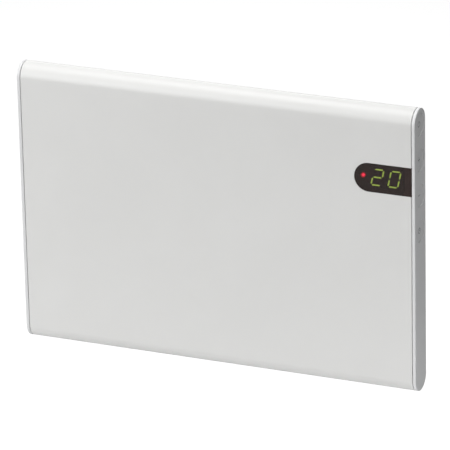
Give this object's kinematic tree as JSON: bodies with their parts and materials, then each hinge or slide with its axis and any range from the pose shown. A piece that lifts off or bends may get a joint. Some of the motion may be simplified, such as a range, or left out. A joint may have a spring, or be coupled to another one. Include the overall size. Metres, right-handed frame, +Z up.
{
  "type": "wall panel convector heater",
  "caption": "Slim wall-hung panel convector with rounded edges, a flush display window, side push buttons and a tilt-forward wall bracket.",
  "frame": {"origin": "centre of the wall bracket's back face, on the wall plane", "axes": "+X to the viewer's right along the heater's length, +Y into the wall, +Z up"},
  "size_m": [0.53, 0.075, 0.37],
  "materials": {
    "white_steel": "satin white powder coat",
    "white_plastic": "satin white moulding",
    "smoked_window": "gloss smoked brown-black",
    "zinc_steel": "bright zinc plate",
    "spring_steel": "bare spring strip",
    "fin_aluminium": "mill finish",
    "rod_steel": "heat-tinted sheath",
    "black_plastic": "fine matt",
    "board_green": "solder mask on glass fibre",
    "ceramic": "unglazed steatite",
    "lamp_red": "clear red lens",
    "wire_brown": "silicone sleeve",
    "wire_blue": "silicone sleeve",
    "wire_earth": "green sleeve with a yellow stripe",
    "ribbon_grey": "flat grey insulation",
    "rubber": "matt"
  },
  "bodies": {
    "bracket": {"bracket_plate": "zinc_steel", "bracket_post_left": "zinc_steel", "bracket_post_right": "zinc_steel", "catch_clip_left": "spring_steel", "catch_clip_right": "spring_steel"},
    "heater": {"front_panel": "white_steel", "back_panel": "white_steel", "end_cap_left": "white_plastic", "end_cap_right": "white_plastic", "hinge_foot_left": "zinc_steel", "hinge_foot_right": "zinc_steel", "hinge_pin_left": "zinc_steel", "hinge_pin_right": "zinc_steel", "catch_tongue_left": "zinc_steel", "catch_tongue_right": "zinc_steel", "element_bush_left": "ceramic", "element_bush_right": "ceramic", "element_bracket_left": "zinc_steel", "element_bracket_right": "zinc_steel", "standby_switch": "black_plastic", "plus_switch": "black_plastic", "minus_switch": "black_plastic", "timer_switch": "black_plastic", "key_board": "board_green", "display_window": "smoked_window", "display_board": "board_green", "digit_block": "black_plastic", "status_led": "lamp_red", "board_carrier": "black_plastic", "power_board": "board_green", "transformer": "zinc_steel", "relay": "black_plastic", "capacitor": "black_plastic", "terminal_block": "ceramic", "mains_gland": "black_plastic", "gland_nut": "black_plastic", "room_sensor": "black_plastic", "partition": "zinc_steel", "partition_grommet": "rubber", "finned_element": "fin_aluminium", "sheathed_rod": "rod_steel", "thermal_cutout": "fin_aluminium", "cutout_strap": "zinc_steel", "supply_lead_live": "wire_brown", "supply_lead_neutral": "wire_blue", "earth_lead": "wire_earth", "cutout_feed_lead": "wire_brown", "cutout_element_lead": "wire_brown", "element_return_lead": "wire_blue", "sensor_lead": "ribbon_grey", "display_ribbon": "ribbon_grey", "key_cable": "ribbon_grey", "case_screw_1": "zinc_steel", "case_screw_2": "zinc_steel", "case_screw_3": "zinc_steel", "case_screw_4": "zinc_steel"},
    "standby_button": {"standby_button": "white_plastic"},
    "plus_button": {"plus_button": "white_plastic"},
    "minus_button": {"minus_button": "white_plastic"},
    "timer_button": {"timer_button": "white_plastic"}
  },
  "joints": [
    {"name": "heater_tilt", "type": "hinge", "parent": "bracket", "child": "heater", "pos_m": [0, -0.029, -0.13], "axis": [1, 0, 0], "range_deg": [0, 25]},
    {"name": "standby_press", "type": "slide", "parent": "heater", "child": "standby_button", "axis": [-1, 0, 0], "range_m": [0, 0.0008], "stiffness_N_per_m": 2000},
    {"name": "plus_press", "type": "slide", "parent": "heater", "child": "plus_button", "axis": [-1, 0, 0], "range_m": [0, 0.0008], "stiffness_N_per_m": 2000},
    {"name": "minus_press", "type": "slide", "parent": "heater", "child": "minus_button", "axis": [-1, 0, 0], "range_m": [0, 0.0008], "stiffness_N_per_m": 2000},
    {"name": "timer_press", "type": "slide", "parent": "heater", "child": "timer_button", "axis": [-1, 0, 0], "range_m": [0, 0.0008], "stiffness_N_per_m": 2000}
  ]
}
